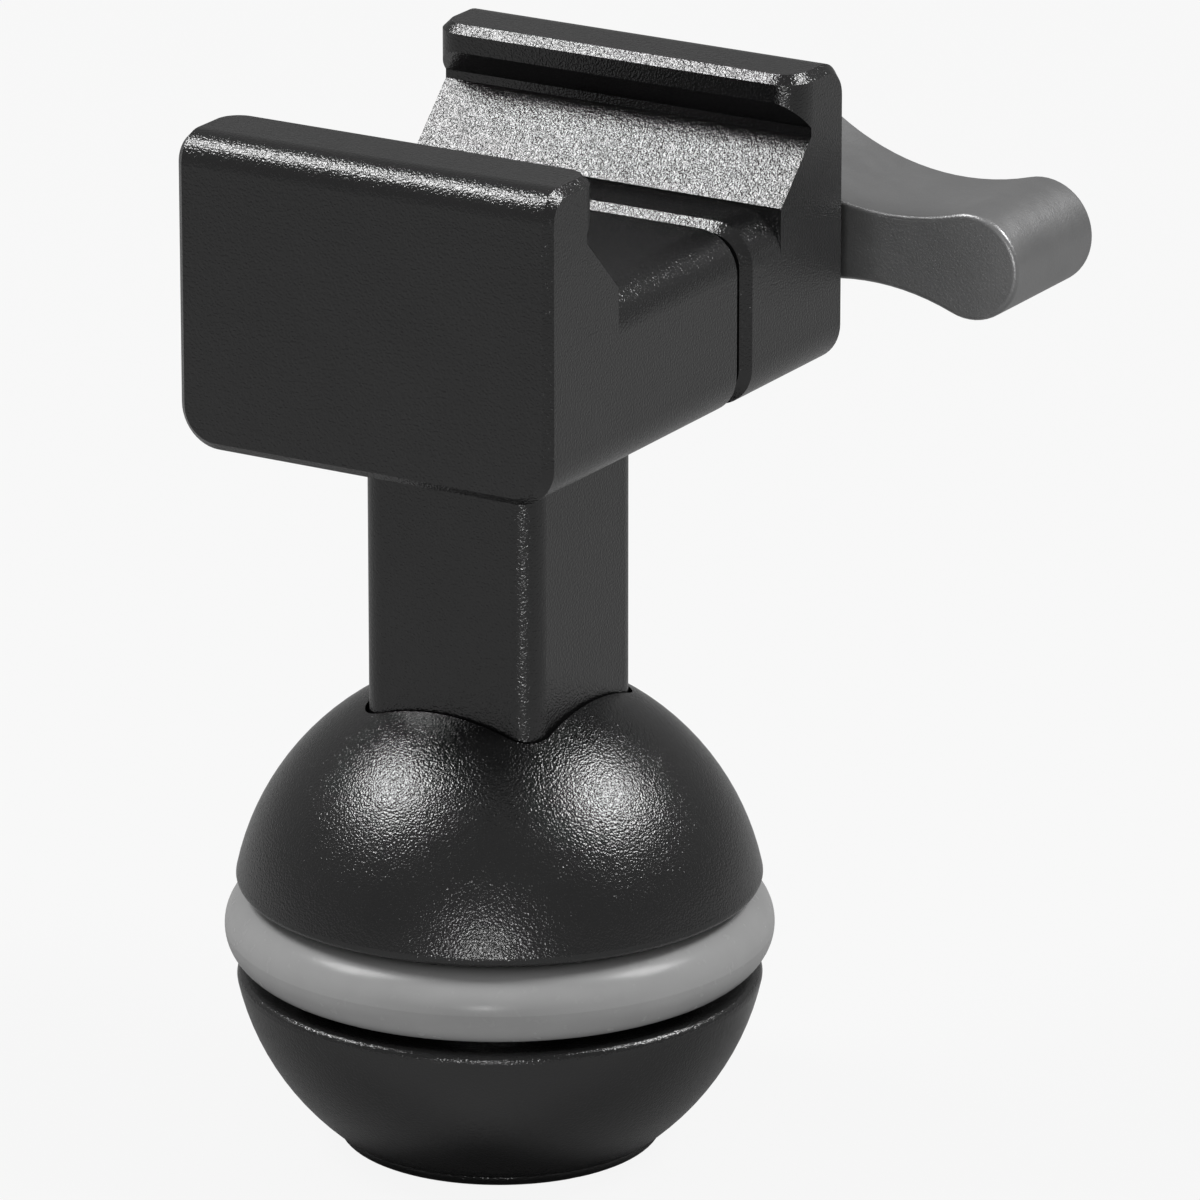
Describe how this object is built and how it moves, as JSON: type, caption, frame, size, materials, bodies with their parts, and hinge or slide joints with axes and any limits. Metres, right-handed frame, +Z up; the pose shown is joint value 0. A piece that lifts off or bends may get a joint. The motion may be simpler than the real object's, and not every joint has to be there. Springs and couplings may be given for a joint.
{
  "type": "ball head clamp",
  "caption": "Rail clamp on a square post and ball: a lever-turned screw draws a sliding V-groove jaw towards a fixed jaw, and a rubber ring round the ball adds grip.",
  "frame": {"origin": "middle of the flat foot under the ball, on the axis of the ball and post", "axes": "+Z up the post, +X along the rail channel, +Y from the fixed jaw through the moving jaw to the lever"},
  "size_m": [0.0314, 0.037, 0.0507],
  "materials": {
    "black_anodised": "bead-blasted aluminium, black anodised, with a fine matt grain",
    "grey_anodised": "bead-blasted aluminium, grey anodised, edges a little brighter",
    "grip_rubber": "mid-grey moulded rubber with a soft sheen",
    "black_oxide_steel": "steel fasteners with a black oxide finish",
    "spring_steel": "bright drawn spring steel",
    "brass": "turned brass"
  },
  "bodies": {
    "head": {"ball": "black_anodised", "grip_ring": "grip_rubber", "ball_bolt": "black_oxide_steel", "lock_washer": "spring_steel", "post": "black_anodised", "post_screw_left": "black_oxide_steel", "post_screw_right": "black_oxide_steel", "clamp_body": "black_anodised", "thread_insert": "brass", "guide_screw_left": "black_oxide_steel", "guide_screw_right": "black_oxide_steel", "jaw_spring_left": "spring_steel", "jaw_spring_right": "spring_steel"},
    "jaw": {"moving_jaw": "black_anodised", "thrust_washer": "brass"},
    "screw": {"clamp_screw": "black_oxide_steel", "screw_clip": "spring_steel", "lever_screw": "black_oxide_steel", "lever_spring": "spring_steel"},
    "lever": {"lever": "grey_anodised"}
  },
  "joints": [
    {"name": "jaw_slide", "type": "slide", "parent": "head", "child": "jaw", "axis": [0, 1, 0], "range_m": [-0.00035, 0.0021], "deforming": ["jaw_spring_left", "jaw_spring_right"]},
    {"name": "lever_turn", "type": "hinge", "parent": "jaw", "child": "screw", "pos_m": [0, 0.01643, 0.0416], "axis": [0, 1, 0], "range_deg": [-180, 1080]},
    {"name": "lever_lift", "type": "slide", "parent": "screw", "child": "lever", "axis": [0, 1, 0], "range_m": [0, 0.0016], "stiffness_N_per_m": 1200, "springref_m": -0.001, "deforming": ["lever_spring"]}
  ],
  "couplings": [
    {"joint": "jaw_slide", "follows": "lever_turn", "m_per_rad": 0.00011141}
  ]
}
